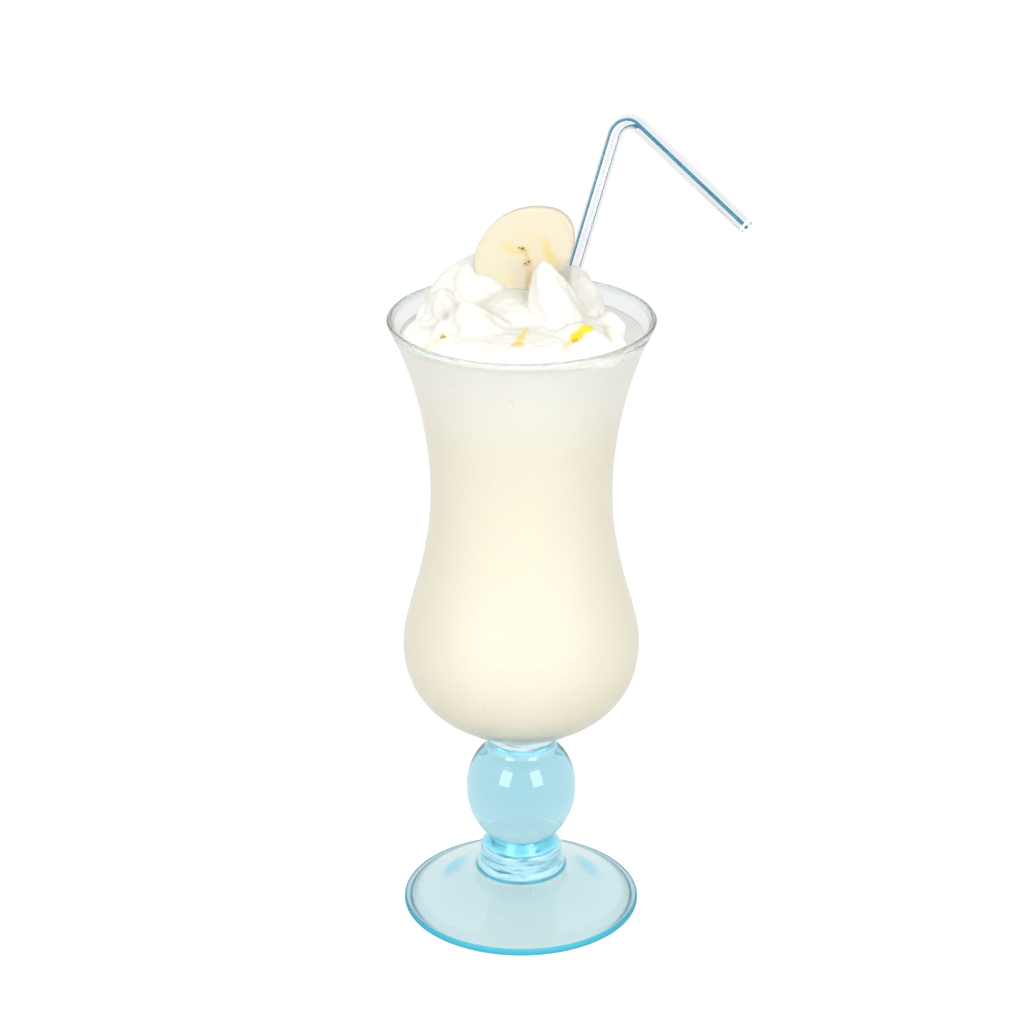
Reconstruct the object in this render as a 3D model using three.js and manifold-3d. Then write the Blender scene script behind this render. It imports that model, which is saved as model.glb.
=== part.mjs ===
// Banana milkshake in a tall waisted glass on a blue ball stem, with whipped cream, a banana slice and
// a bent straw. Millimetres, +Z up. The origin is the centre of the ring that the foot stands on, and
// the front faces -Y.
import * as THREE from 'three';
import { mergeVertices } from 'three/addons/utils/BufferGeometryUtils.js';
import Module from 'manifold-3d';

const wasm = await Module();
wasm.setup();

// Glass bowl: radii and heights of its outer wall
const RIM_R = 40.5;
const RIM_Z = 197.6;
const WAIST_R = 28.0;
const WAIST_Z = 143.4;
const BULGE_R = 36.9;
const BULGE_Z = 91.6;
const BELLY_Z = 62.4; // where the underside leaves the neck
const NECK_R = 10.5;
const JOIN_Z = 58.1; // flat seam where the clear bowl is fused to the blue stem
const WALL = 2.1;
const RIM_WALL = 1.6; // the wall thins towards the rim, from THIN_Z upwards
const THIN_Z = 165;
const FLOOR_EXTRA = 3.2; // more glass under the drink, up to FLOOR_Z
const FLOOR_Z = 78;
const LIP_R = RIM_WALL / 2;
const RIM_FLARE = 0.53; // outward slope of the wall at the rim, kept up over RIM_REACH below it
const RIM_REACH = 12;

// Glass stem: ball, collar and foot
const BALL_R = 17.35;
const BALL_Z = 41.0;
const SHOULDER_R = 11.4;
const SHOULDER_Z = 54.9;
const CREASE_R = 9.4; // under the ball
const CREASE_Z = 24.6;
const CONE = { r: 11.8, z: 21.1 }; // lower edge of the short cone between the crease and the ring
const RING_R = 12.9;
const RING_ROUND_Z = 19.3; // the ring's top is rounded from here up
const STEP_Z = 15.2; // where the ring stands on the wider base
const BASE_R = 13.8;
const BASE_Z = 12.9; // where the base meets the foot
const FOOT_R = 37.5;
const FOOT_EDGE = 2.5; // thickness at the foot's edge
const FOOT_ROUND = 1.2;
const HOLLOW_R = 34.2; // domed hollow under the foot, inside the ring that it stands on
const HOLLOW_Z = 10;
const HOLLOW_BEVEL = { wide: 0.8, high: 1.2 };

// Drink
const LEVEL_Z = 192.5;
const GAP = 0.3; // left between pieces that lie against each other

// Straw: 5 x 240 mm, leaning from the belly to the back of the rim, then bent to the right
const STRAW_R = 2.5;
const STRAW_BORE_R = 2.15;
const STRAW_LENGTH = 240;
const STRAW_CORNER = new THREE.Vector3(30.9, 47.7, 249.3);
const STRAW_LEAN = new THREE.Vector3(0.313, 0.3113, 1);
const STRAW_TIP = new THREE.Vector3(67.8, 13.6, 222.4);
const STRAW_BEND_R = 5.3;

// Banana slice: an oval cut on the slant, standing in the cream
const SLICE_LONG = 33.4;
const SLICE_SHORT = 25.4;
const SLICE_THICK = 5;
const SLICE_EDGE = 0.7; // rounding of the cut's edge
const SLICE_UNEVEN = 0.026; // how far its outline strays from an oval
const SLICE_CENTRE = new THREE.Vector3(0.8, 5, 217.2);
const SLICE_ROLL = 44; // degrees, the long way of the oval against the level
const SLICE_LEAN = 9; // degrees, its top away from the front
const SLICE_TURN = -8; // degrees about the upright

// Whipped cream: a low bed and the lobes piped on it. wide and deep are a lobe's half widths, turn is in
// degrees, lean moves its tip, full is how full its sides are and tip how pointed it ends
const BED = { x: -3, y: -8, halfX: 34, halfY: 34.5, sunk: 5, edge: 191, top: 201.5, square: 2.5 };
const RIDGES = 6;
const RIDGE_DEPTH = 0.06;
const RIDGE_TURN = 1.4;
const LOBES = {
  core: { x: -1, y: 1, wide: 24, deep: 20, top: 207.5, full: 3, tip: 0.7 },
  backLeft: { x: -12, y: 9, wide: 19, deep: 13, turn: 6, top: 215.8, lean: [0, 1], full: 2.4, tip: 0.75 },
  farLeft: { x: -22.5, y: 0, wide: 8, deep: 9, top: 208, lean: [-1, 1], full: 2.4, tip: 0.8 },
  frontRight: { x: 11.2, y: -8, wide: 9, deep: 8.5, top: 219.3, lean: [-5, 1], full: 2.6, tip: 0.85 },
  frontLeft: {
    x: -9.5, y: -15, wide: 12.5, deep: 8.5, turn: -8, top: 209.5, lean: [-8, 1], full: 2.2, tip: 0.9,
  },
  backRight: {
    x: 13.8, y: 10, wide: 11, deep: 10.5, turn: -20, top: 211, lean: [1.5, 1], full: 2.7, tip: 0.7,
  },
  frontFold: { x: 15, y: -17, wide: 14, deep: 9, turn: 32, top: 202.8, lean: [2, 1], full: 2.6, tip: 0.8 },
  frontBelly: { x: -4, y: -24, wide: 15, deep: 9, turn: -10, top: 201.5, lean: [0, 1], full: 3, tip: 0.75 },
  leftPetal: { x: -19.5, y: -16, wide: 9, deep: 8, turn: 30, top: 203, lean: [-4, 2], full: 2, tip: 0.9 },
  leftSwirl: { x: -26, y: -6, wide: 5.5, deep: 5.5, top: 201, full: 2.6, tip: 0.75 },
  rightSwirl: { x: 26, y: 1, wide: 5, deep: 7, turn: -15, top: 200, lean: [0, 1], full: 2.4, tip: 0.8 },
  rightFold: { x: 25, y: -10, wide: 6, deep: 8, turn: 20, top: 199.5, lean: [1, 0], full: 2.4, tip: 0.8 },
};

const ROUND_SIDES = 40;
const LOBE_SIDES = 22;
const LOBE_RINGS = 7;

// A body of revolution about Z from an outline of (radius, height) points that runs upwards on its outside
function lathe(outline, sides) {
  return new THREE.LatheGeometry(outline, sides).rotateX(Math.PI / 2);
}

// Keeps the shape alone: no normals or uvs, shared corners merged and triangles without area left out
function weld(geometry) {
  const bare = geometry.clone();
  bare.deleteAttribute('normal');
  bare.deleteAttribute('uv');
  const merged = mergeVertices(bare, 1e-4);
  const corners = merged.index.array;
  const kept = [];
  for (let i = 0; i < corners.length; i += 3) {
    const [a, b, c] = corners.slice(i, i + 3);
    if (a !== b && b !== c && c !== a) kept.push(a, b, c);
  }
  merged.setIndex(kept);
  return merged;
}

function solid(geometry) {
  const welded = weld(geometry);
  const vertProperties = new Float32Array(welded.attributes.position.array);
  const triVerts = new Uint32Array(welded.index.array);
  return new wasm.Manifold(new wasm.Mesh({ numProp: 3, vertProperties, triVerts }));
}

function geometryOf(manifold) {
  const mesh = manifold.getMesh();
  const geometry = new THREE.BufferGeometry();
  geometry.setAttribute('position', new THREE.BufferAttribute(mesh.vertProperties, 3));
  geometry.setIndex(new THREE.BufferAttribute(mesh.triVerts, 1));
  return geometry;
}

// The bowl's outer wall from the neck to the rim
function wallCurve() {
  const wall = new THREE.Path();
  wall.moveTo(NECK_R, BELLY_Z);
  wall.bezierCurveTo(NECK_R + 11.6, BELLY_Z + 2.5, BULGE_R, BULGE_Z - 19, BULGE_R, BULGE_Z);
  wall.bezierCurveTo(BULGE_R, BULGE_Z + 11.7, WAIST_R, WAIST_Z - 25.4, WAIST_R, WAIST_Z);
  const below = new THREE.Vector2(RIM_R - RIM_FLARE * RIM_REACH, RIM_Z - RIM_REACH);
  wall.bezierCurveTo(WAIST_R, WAIST_Z + 20.6, below.x, below.y, RIM_R, RIM_Z);
  return wall;
}

// The wall moved inwards, square to its own direction, by a share of its thickness and a gap
function insetWall(share, gap = 0) {
  const wall = wallCurve().getPoints(7);
  return wall.map((point, i) => {
    const before = wall[Math.max(i - 1, 0)];
    const after = wall[Math.min(i + 1, wall.length - 1)];
    const along = after.clone().sub(before).normalize();
    const thinned = Math.max((point.y - THIN_Z) / (RIM_Z - THIN_Z), 0);
    const low = Math.max((FLOOR_Z - point.y) / (FLOOR_Z - BELLY_Z), 0);
    const inset = share * (WALL - (WALL - RIM_WALL) * thinned + FLOOR_EXTRA * low ** 2) + gap;
    return new THREE.Vector2(point.x - along.y * inset, point.y + along.x * inset);
  });
}

function radiusAt(outline, z) {
  const i = outline.findIndex((point) => point.y > z);
  const low = outline[i - 1];
  const high = outline[i];
  return low.x + ((high.x - low.x) * (z - low.y)) / (high.y - low.y);
}

function bowlGeometry() {
  const outer = insetWall(0);
  const inner = insetWall(1);
  const rimTop = outer.at(-1).clone().lerp(inner.at(-1), 0.5);
  const lip = new THREE.Path();
  const tilt = Math.atan2(outer.at(-1).y - inner.at(-1).y, outer.at(-1).x - inner.at(-1).x);
  lip.absarc(rimTop.x, rimTop.y, LIP_R, tilt, tilt + Math.PI);
  const axisTop = new THREE.Vector2(0, inner[0].y);
  const outline = [
    new THREE.Vector2(0, JOIN_Z),
    new THREE.Vector2(NECK_R, JOIN_Z),
    ...outer.slice(0, -1),
    ...lip.getPoints(3),
    ...inner.slice(0, -1).reverse(),
    axisTop,
  ];
  return lathe(outline, ROUND_SIDES);
}

function stemGeometry() {
  const stem = new THREE.Path();
  stem.moveTo(0, HOLLOW_Z);
  stem.quadraticCurveTo(HOLLOW_R / 3, HOLLOW_Z, HOLLOW_R, HOLLOW_BEVEL.high);
  stem.lineTo(HOLLOW_R + HOLLOW_BEVEL.wide, 0);
  stem.lineTo(FOOT_R - FOOT_ROUND, 0);
  stem.quadraticCurveTo(FOOT_R, 0, FOOT_R, FOOT_EDGE / 2);
  stem.quadraticCurveTo(FOOT_R, FOOT_EDGE, FOOT_R - 1.3, FOOT_EDGE);
  stem.quadraticCurveTo(25, 7.6, BASE_R, BASE_Z);
  stem.lineTo(BASE_R, STEP_Z - 0.7);
  stem.lineTo(BASE_R - 0.3, STEP_Z - 0.1);
  stem.lineTo(RING_R, STEP_Z);
  stem.lineTo(RING_R, RING_ROUND_Z);
  stem.quadraticCurveTo(RING_R, CONE.z - 0.3, CONE.r, CONE.z);
  stem.lineTo(CONE.r - 0.9, CONE.z + 1);
  stem.lineTo(CREASE_R, CREASE_Z);
  stem.bezierCurveTo(CREASE_R + 2.6, CREASE_Z + 1, BALL_R, BALL_Z - 9.8, BALL_R, BALL_Z);
  stem.bezierCurveTo(BALL_R, BALL_Z + 6.8, SHOULDER_R + 2.9, SHOULDER_Z - 2.5, SHOULDER_R, SHOULDER_Z);
  stem.quadraticCurveTo(NECK_R + 0.1, SHOULDER_Z + 1.2, NECK_R, JOIN_Z);
  stem.lineTo(0, JOIN_Z);
  return lathe(stem.getPoints(4), ROUND_SIDES);
}

// The drink fills the bowl up to its level, cut round the cream's bed and the straw
function milkshakeGeometry() {
  const wall = insetWall(1, GAP);
  const outline = [
    new THREE.Vector2(0, wall[0].y),
    ...wall.filter((point) => point.y < LEVEL_Z),
    new THREE.Vector2(radiusAt(wall, LEVEL_Z), LEVEL_Z),
    new THREE.Vector2(0, LEVEL_Z),
  ];
  return geometryOf(solid(lathe(outline, ROUND_SIDES)).subtract(bed(GAP)).subtract(strawRoom()));
}

// The cream's bed: flat below, sunk into the drink, and a squarish dome above
function bed(grow) {
  const low = LEVEL_Z - BED.sunk - grow;
  const outline = [new THREE.Vector2(0, low), new THREE.Vector2(0.93, low), new THREE.Vector2(1, BED.edge)];
  const steps = 7;
  for (let i = 1; i <= steps; i++) {
    const angle = (i / steps) * (Math.PI / 2);
    const across = Math.cos(angle) ** (2 / BED.square);
    const up = Math.sin(angle) ** (2 / BED.square);
    outline.push(new THREE.Vector2(i === steps ? 0 : across, BED.edge + (BED.top - BED.edge) * up + grow));
  }
  const dome = lathe(outline, ROUND_SIDES);
  dome.scale(BED.halfX + grow, BED.halfY + grow, 1);
  dome.translate(BED.x, BED.y, 0);
  return solid(dome);
}

// One piped lobe: a fluted, slightly twisted body that leans over to its tip
function lobe({ x, y, wide, deep, turn = 0, top, lean = [0, 0], full, tip }) {
  const outline = [new THREE.Vector2(0, 0)];
  for (let i = 0; i <= LOBE_RINGS; i++) {
    const t = i / LOBE_RINGS;
    outline.push(new THREE.Vector2((1 - t ** full) ** tip, t));
  }
  const body = lathe(outline, LOBE_SIDES);
  const facing = THREE.MathUtils.degToRad(turn);
  const corners = body.attributes.position;
  for (let i = 0; i < corners.count; i++) {
    const t = Math.max(corners.getZ(i), 0);
    const angle = Math.atan2(corners.getY(i), corners.getX(i));
    const flute = 1 + RIDGE_DEPTH * Math.cos(RIDGES * (angle + RIDGE_TURN * t));
    const across = corners.getX(i) * flute * wide;
    const along = corners.getY(i) * flute * deep;
    const over = t ** 1.6;
    corners.setXYZ(
      i,
      x + across * Math.cos(facing) - along * Math.sin(facing) + lean[0] * over,
      y + across * Math.sin(facing) + along * Math.cos(facing) + lean[1] * over,
      LEVEL_Z + (top - LEVEL_Z) * t,
    );
  }
  return solid(body);
}

// The room inside the glass and above it, which the cream keeps to
function creamRoom() {
  const wall = insetWall(1, GAP);
  const low = LEVEL_Z - BED.sunk - 1;
  const rim = wall.at(-1);
  const outline = [
    new THREE.Vector2(0, low),
    new THREE.Vector2(radiusAt(wall, low), low),
    ...wall.filter((point) => point.y > low),
    new THREE.Vector2(rim.x, rim.y + 3),
    new THREE.Vector2(rim.x, rim.y + 40),
    new THREE.Vector2(0, rim.y + 40),
  ];
  return solid(lathe(outline, ROUND_SIDES));
}

function creamGeometry() {
  const heap = Object.values(LOBES).reduce((sum, one) => sum.add(lobe(one)), bed(0));
  const slot = solid(sliceGeometry(GAP));
  return geometryOf(heap.intersect(creamRoom()).subtract(slot).subtract(strawRoom()));
}

// The slice: a slightly uneven oval, upright, leaning back in the cream
function sliceGeometry(grow) {
  const oval = new THREE.Shape();
  const around = 40;
  for (let i = 0; i < around; i++) {
    const angle = (i / around) * 2 * Math.PI;
    const uneven = 1 + SLICE_UNEVEN * Math.cos(3 * angle + 0.6) + 0.3 * SLICE_UNEVEN * Math.cos(5 * angle);
    const across = (SLICE_LONG / 2 - SLICE_EDGE + grow) * uneven * Math.cos(angle);
    const up = (SLICE_SHORT / 2 - SLICE_EDGE + grow) * uneven * Math.sin(angle);
    if (i === 0) oval.moveTo(across, up);
    else oval.lineTo(across, up);
  }
  oval.closePath();
  const core = SLICE_THICK - 2 * SLICE_EDGE + 2 * grow;
  const slice = new THREE.ExtrudeGeometry(oval, {
    depth: core,
    bevelThickness: SLICE_EDGE,
    bevelSize: SLICE_EDGE,
    bevelSegments: 2,
  });
  slice.translate(0, 0, -core / 2);
  slice.rotateZ(THREE.MathUtils.degToRad(SLICE_ROLL));
  slice.rotateX(THREE.MathUtils.degToRad(90 - SLICE_LEAN));
  slice.rotateZ(THREE.MathUtils.degToRad(SLICE_TURN));
  slice.translate(SLICE_CENTRE.x, SLICE_CENTRE.y, SLICE_CENTRE.z);
  return slice;
}

// The straw's centre line: a straight leg, a round bend and a short leg, with most steps in the bend
class StrawRoute extends THREE.Curve {
  constructor() {
    super();
    const up = STRAW_LEAN.clone().normalize();
    const out = STRAW_TIP.clone().sub(STRAW_CORNER).normalize();
    const turn = up.angleTo(out);
    const cut = STRAW_BEND_R * Math.tan(turn / 2);
    const arc = STRAW_BEND_R * turn;
    const tipLeg = STRAW_TIP.distanceTo(STRAW_CORNER) - cut;
    this.up = up;
    this.inward = out.clone().addScaledVector(up, -out.dot(up)).normalize();
    this.turn = turn;
    this.bendStart = STRAW_CORNER.clone().addScaledVector(up, -cut);
    this.bendEnd = STRAW_CORNER.clone().addScaledVector(out, cut);
    this.foot = this.bendStart.clone().addScaledVector(up, tipLeg + arc - STRAW_LENGTH);
    this.legSteps = 2;
    this.bendSteps = 8;
    this.steps = this.bendSteps + 2 * this.legSteps;
  }

  getPoint(t, target = new THREE.Vector3()) {
    const step = t * this.steps;
    const intoBend = (step - this.legSteps) / this.bendSteps;
    if (intoBend <= 0) return target.lerpVectors(this.foot, this.bendStart, step / this.legSteps);
    if (intoBend >= 1) {
      const intoTip = (step - this.legSteps - this.bendSteps) / this.legSteps;
      return target.lerpVectors(this.bendEnd, STRAW_TIP, intoTip);
    }
    const angle = this.turn * intoBend;
    target.copy(this.bendStart).addScaledVector(this.up, STRAW_BEND_R * Math.sin(angle));
    return target.addScaledVector(this.inward, STRAW_BEND_R * (1 - Math.cos(angle)));
  }

  // Steps are counted along the route's own parts, not by length
  getUtoTmapping(u) {
    return u;
  }
}

function strawGeometry() {
  const route = new StrawRoute();
  const section = new THREE.Shape().absarc(0, 0, STRAW_R, 0, 2 * Math.PI);
  section.holes.push(new THREE.Path().absarc(0, 0, STRAW_BORE_R, 0, 2 * Math.PI));
  return new THREE.ExtrudeGeometry(section, { steps: route.steps, extrudePath: route, curveSegments: 7 });
}

// The room that the straw's long leg takes in the drink and the cream
function strawRoom() {
  const route = new StrawRoute();
  const length = route.foot.distanceTo(route.bendStart) + GAP;
  const rod = new THREE.CylinderGeometry(STRAW_R + GAP, STRAW_R + GAP, length, 16);
  rod.translate(0, length / 2 - GAP, 0);
  rod.applyQuaternion(new THREE.Quaternion().setFromUnitVectors(new THREE.Vector3(0, 1, 0), route.up));
  rod.translate(route.foot.x, route.foot.y, route.foot.z);
  return solid(rod);
}

function opaque(color, roughness) {
  return new THREE.MeshStandardMaterial({ color, roughness });
}

function seeThrough(color, roughness, opacity) {
  return new THREE.MeshStandardMaterial({ color, roughness, transparent: true, opacity });
}

const clearGlass = seeThrough(0xdfe9e6, 0.05, 0.35);
const blueGlass = seeThrough(0xa6dcea, 0.05, 0.6);
const drink = opaque(0xf7f1df, 0.45);
const cream = opaque(0xfdfaf0, 0.5);
const flesh = opaque(0xfcf3d7, 0.4);
const clearPlastic = seeThrough(0x8ccbe4, 0.2, 0.6);

function piece(name, geometry, material) {
  const mesh = new THREE.Mesh(geometry, material);
  mesh.name = name;
  return mesh;
}

const milkshake = new THREE.Group();
milkshake.add(
  piece('glass_bowl', bowlGeometry(), clearGlass),
  piece('glass_stem', stemGeometry(), blueGlass),
  piece('milkshake', milkshakeGeometry(), drink),
  piece('whipped_cream', creamGeometry(), cream),
  piece('banana_slice', sliceGeometry(0), flesh),
  piece('straw', strawGeometry(), clearPlastic),
);

export default milkshake;
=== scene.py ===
# Looks of a banana milkshake: clear and blue glass, drink, whipped cream, banana slice and straw.
# Shapes are worked out in millimetres (MM turns them into metres), with +Z up and the front at -Y.
import math

import bpy
from mathutils import Matrix, Vector, noise


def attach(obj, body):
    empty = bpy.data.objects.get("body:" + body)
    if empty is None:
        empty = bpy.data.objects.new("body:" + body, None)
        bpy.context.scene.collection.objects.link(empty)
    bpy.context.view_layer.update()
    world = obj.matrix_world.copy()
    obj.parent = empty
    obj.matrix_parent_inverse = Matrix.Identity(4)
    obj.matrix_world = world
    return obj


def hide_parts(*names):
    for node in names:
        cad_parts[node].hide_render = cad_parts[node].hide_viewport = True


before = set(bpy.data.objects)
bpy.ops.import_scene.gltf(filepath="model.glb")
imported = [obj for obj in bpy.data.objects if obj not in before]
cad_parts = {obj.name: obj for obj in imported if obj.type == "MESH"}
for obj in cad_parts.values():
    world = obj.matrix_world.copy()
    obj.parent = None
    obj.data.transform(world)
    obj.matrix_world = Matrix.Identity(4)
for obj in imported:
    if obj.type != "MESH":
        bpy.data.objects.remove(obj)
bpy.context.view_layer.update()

MM = 0.001

# Light: the room's, and what its front adds
ROOM_LIGHT = 0.91
FRONT_LIGHT = 0.3
FRONT_WAY = (0, -0.93, 0.37)
SOFTBOX_WATTS = 7.6  # of each softbox
SOFTBOX_PLACE = (0.7, -0.89, 0.66)  # metres; a second one stands at the left
SOFTBOX_SIZE = (0.55, 0.72)
SOFTBOX_AIM = (0, 0, 0.1)

# Floor, in metres
FLOOR_HALF = 3
FLOOR_DROP = 0.0001  # just under the glass
FLOOR_GREY = 0.12
FLOOR_ROUGH = 0.9
FLOOR_SHINE = 0.1
FLOOR_GLOW = 0.74
FLOOR_GLOW_SEEN = 0.3  # added where the floor itself is seen, so that it is white

# Camera, as the photograph was taken
IMAGE_SIDE = 1024
FOCAL_PX = 3356
SENSOR = 36.0
CAMERA_PLACE = Vector((-2.9, -948, 540))
CAMERA_PITCH = 23.12

# Glass bowl
RIM_R = 40.5
RIM_Z = 197.6
WAIST_R = 28.0
WAIST_Z = 143.4
BULGE_R = 36.9
BULGE_Z = 91.6
BELLY_Z = 62.4
NECK_R = 10.5
JOIN_Z = 58.1
WALL = 2.1
RIM_WALL = 1.6  # the wall thins towards the rim, from THIN_Z upwards
THIN_Z = 165
BOTTOM_EXTRA = 3.2  # more glass under the drink, up to BOTTOM_Z
BOTTOM_Z = 78
LIP_R = RIM_WALL / 2
RIM_FLARE = 0.53  # outward slope of the wall at the rim, kept up over RIM_REACH below it
RIM_REACH = 12
NECK_PULL = (11.6, 2.5)  # how far the wall's curves keep their direction: out and up from the neck
BULGE_PULL = (19, 11.7)  # below and above the bulge
WAIST_PULL = (25.4, 20.6)  # below and above the waist

# Glass stem
BALL_R = 17.35
BALL_Z = 41.0
SHOULDER_R = 11.4
SHOULDER_Z = 54.9
CREASE_R = 9.4  # under the ball
CREASE_Z = 24.6
CONE_R = 11.8  # lower edge of the short cone between the crease and the ring
CONE_Z = 21.1
RING_R = 12.9
RING_ROUND_Z = 19.3  # the ring's top is rounded from here up
STEP_Z = 15.2  # where the ring stands on the wider base
BASE_R = 13.8
BASE_Z = 12.9  # where the base meets the foot
FOOT_R = 37.5
FOOT_EDGE = 2.5
FOOT_ROUND = 1.2
FOOT_ROUND_TOP = 1.3
FOOT_SLOPE = (25, 7.6)  # the foot's upper side curves towards this place
HOLLOW_R = 34.2  # domed hollow under the foot, inside the ring that it stands on
HOLLOW_Z = 10
HOLLOW_BEVEL = 1.2
FUSED = 0.02  # the blue glass runs this far into the clear glass above it

# Drink
LEVEL_Z = 192.5
INTO_WALL = 0.35  # how far the drink reaches into the glass, so that no air shows
CREAM_INTO_WALL = 0.4
CREAM_BELOW_RIM = 1.1  # the cream's edge along the wall
MENISCUS = 0.7
MENISCUS_BACK = (0.4, 0.8, 1.3, 1.9, 2.7)  # from the wall inwards
MENISCUS_FALL = 0.7
MENISCUS_END = 5
CREAM_ROOM_ABOVE = 40  # taller than the heap
PIECE_GAP = 0.04  # room round the slice and the straw where they stand in cream or drink

# Straw
STRAW_R = 2.5
STRAW_BORE_R = 2.15
STRAW_LENGTH = 240
# where the straw's two legs would meet without the bend
STRAW_CORNER = Vector((30.9, 47.7, 249.3))
STRAW_LEAN = Vector((0.313, 0.3113, 1)).normalized()
STRAW_TIP = Vector((67.8, 13.6, 222.4))
STRAW_BEND_R = 5.3
STRIPE_LOW = 16  # degrees from the bend's own normal towards its outer side, on the long leg
STRIPE_HIGH = 12  # and past the bend
STRIPE_HALF = 9.5  # degrees
STRAW_CUT = 0.7  # this much of the tip is frosted by the cut
STRAW_SIDES = 144
PLAIN, STRIPED, CUT_END = range(3)  # kinds of face, in the order of the straw's materials

# Banana slice
SLICE_LONG = 33.4
SLICE_SHORT = 25.4
SLICE_THICK = 5
SLICE_EDGE = 0.7
SLICE_UNEVEN = 0.026  # how far its outline strays from an oval
SLICE_CENTRE = Vector((0.8, 5, 217.2))
SLICE_ROLL = 44  # degrees, as are the lean and the turn
SLICE_LEAN = 9
SLICE_TURN = -8

# Whipped cream: a low bed and the lobes piped on it. foot is the bed's width below as a share of its widest,
# and square how squarish its dome is. wide and deep are a lobe's half widths, turn is in degrees, lean moves
# its tip, full is how full its sides are and tip how pointed it ends
BED = dict(x=-3, y=-8, half_x=34, half_y=34.5, sunk=5, foot=0.93, edge=191, top=201.5, square=2.5)
LOBE_SUNK = 1
LEAN_POWER = 1.6  # above 1, so that a lobe leans mostly near its tip
RIDGES = 6
RIDGE_DEPTH = 0.06
RIDGE_TURN = 1.4
LOBES = {
    "core": dict(x=-1, y=1, wide=24, deep=20, top=207.5, full=3, tip=0.7),
    "back_left": dict(x=-12, y=9, wide=19, deep=13, turn=6, top=215.8, lean=(0, 1), full=2.4, tip=0.75),
    "far_left": dict(x=-22.5, y=0, wide=8, deep=9, top=208, lean=(-1, 1), full=2.4, tip=0.8),
    "front_right": dict(x=11.2, y=-8, wide=9, deep=8.5, top=219.3, lean=(-5, 1), full=2.6, tip=0.85),
    "front_left": dict(
        x=-9.5, y=-15, wide=12.5, deep=8.5, turn=-8, top=209.5, lean=(-8, 1), full=2.2, tip=0.9
    ),
    "back_right": dict(x=13.8, y=10, wide=11, deep=10.5, turn=-20, top=211, lean=(1.5, 1), full=2.7, tip=0.7),
    "front_fold": dict(x=15, y=-17, wide=14, deep=9, turn=32, top=202.8, lean=(2, 1), full=2.6, tip=0.8),
    "front_belly": dict(x=-4, y=-24, wide=15, deep=9, turn=-10, top=201.5, lean=(0, 1), full=3, tip=0.75),
    "left_petal": dict(x=-19.5, y=-16, wide=9, deep=8, turn=30, top=203, lean=(-4, 2), full=2, tip=0.9),
    "left_swirl": dict(x=-26, y=-6, wide=5.5, deep=5.5, top=201, full=2.6, tip=0.75),
    "right_swirl": dict(x=26, y=1, wide=5, deep=7, turn=-15, top=200, lean=(0, 1), full=2.4, tip=0.8),
    "right_fold": dict(x=25, y=-10, wide=6, deep=8, turn=20, top=199.5, lean=(1, 0), full=2.4, tip=0.8),
}
CREAM_VOXEL = 0.42
SWELLS = ((0.4, 0.16), (0.24, 0.5))  # height and fineness of the skin's unevenness

# Fineness of turned pieces and lobes
ROUND_SIDES = 240
LOBE_SIDES = 96
LOBE_RINGS = 36

# Colours
WHITE = (1.0, 1.0, 1.0)
CLEAR_DEPTH = ((0.3, 0.5, 0.42), 8)  # colour and density
BLUE_DEPTH = ((0.18, 0.76, 0.88), 30)
GLASS_IOR = 1.5
LIP_TINT = (0.94, 0.985, 0.965)
LIP_BELOW = (1.4, 0.4)  # how far under the rim the tint begins and is full
LIP_BLUR = 0.25
HAZE_BLUR = 0.35
STREAKS = (0.13, 0.13, 0.8)  # fineness of the haze's streaks along x, y and z
STREAK_NOISE = (1, 2)  # fineness and detail, as in the other noises
STREAK_SHARE = (0.15, 0.55)
# hazy places in the glass, coloured with painted refraction: centre, radii, turn, softness, colour and how
# far it hides what is behind
CLEAR_HAZE_AND_PAINTED_REFRACTION = [
    ((0, 0, 63), (24, 24, 6), (0, 0, 0), 0.7, (0.5, 0.88, 0.97), 0.25),
    ((0, 0, 59.3), (40, 40, 2), (0, 0, 0), 0.6, (0.78, 0.94, 0.98), 0.75),
    ((0, 0, RIM_Z + 0.1), (90, 90, 0.8), (0, 0, 0), 0.5, (0.86, 0.93, 0.9), 0.36),
]
# painted refraction in the blue glass: bands at the neck, under the ball, on the ring and where it meets the
# foot, and two patches beside the collar
BLUE_HAZE_AND_PAINTED_REFRACTION = [
    ((0, 0, 57.4), (40, 40, 2.4), (0, 0, 0), 0.6, (0.4, 0.8, 0.92), 0.5),
    ((0, 0, 23.4), (40, 40, 3.6), (0, 0, 0), 0.4, (0.2, 0.72, 0.88), 0.6),
    ((0, 0, 17.3), (40, 40, 5), (0, 0, 0), 0.35, (0.52, 0.85, 0.94), 0.6),
    ((0, 0, 12.9), (40, 40, 0.8), (0, 0, 0), 0.7, (0.03, 0.36, 0.45), 0.8),
    ((-21.2, 6.6, 8), (5, 10, 6), (0, 0, -31), 0.9, (0.25, 0.74, 0.95), 0.5),
    ((21.2, 6.6, 8), (5, 10, 6), (0, 0, 31), 0.9, (0.25, 0.74, 0.95), 0.5),
]
FOOT_TINT_Z = 11
FOOT_TINT_FADE = 2
FOOT_TINT = (0.8, 0.985, 1.0)
# deep cyan along the foot's edge: the glass's colour over its long path there, laid partly opaque as painted
# light that stands in for light carried inside the edge
EDGE_DEEP_AND_LIT_TINT = (0.015, 0.37, 0.52)
EDGE_PAINTED_LIGHT_SOLID = 0.6
EDGE_INSIDE = (1.2, 0.4)  # how far inside the foot's edge its deep colour and painted light begin and are full
FOOT_BLUR = 0.3
BLUR_INSIDE = (7, 4)
MILK_COLOUR = (0.977, 0.928, 0.77)
# the drink's foam; also painted light on the cream's shaded lower part
FOAM_AND_PAINTED_LIGHT_COLOUR = (0.993, 0.976, 0.905)
FOAM_BELOW = (34, 6)  # how far under the drink's level the foam begins and is full
MILK_WAVE = (0.09, 16)  # fineness and reach of the noise that makes an edge wavy, as in the other waves
MILK_ROUGH = 0.35
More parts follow.
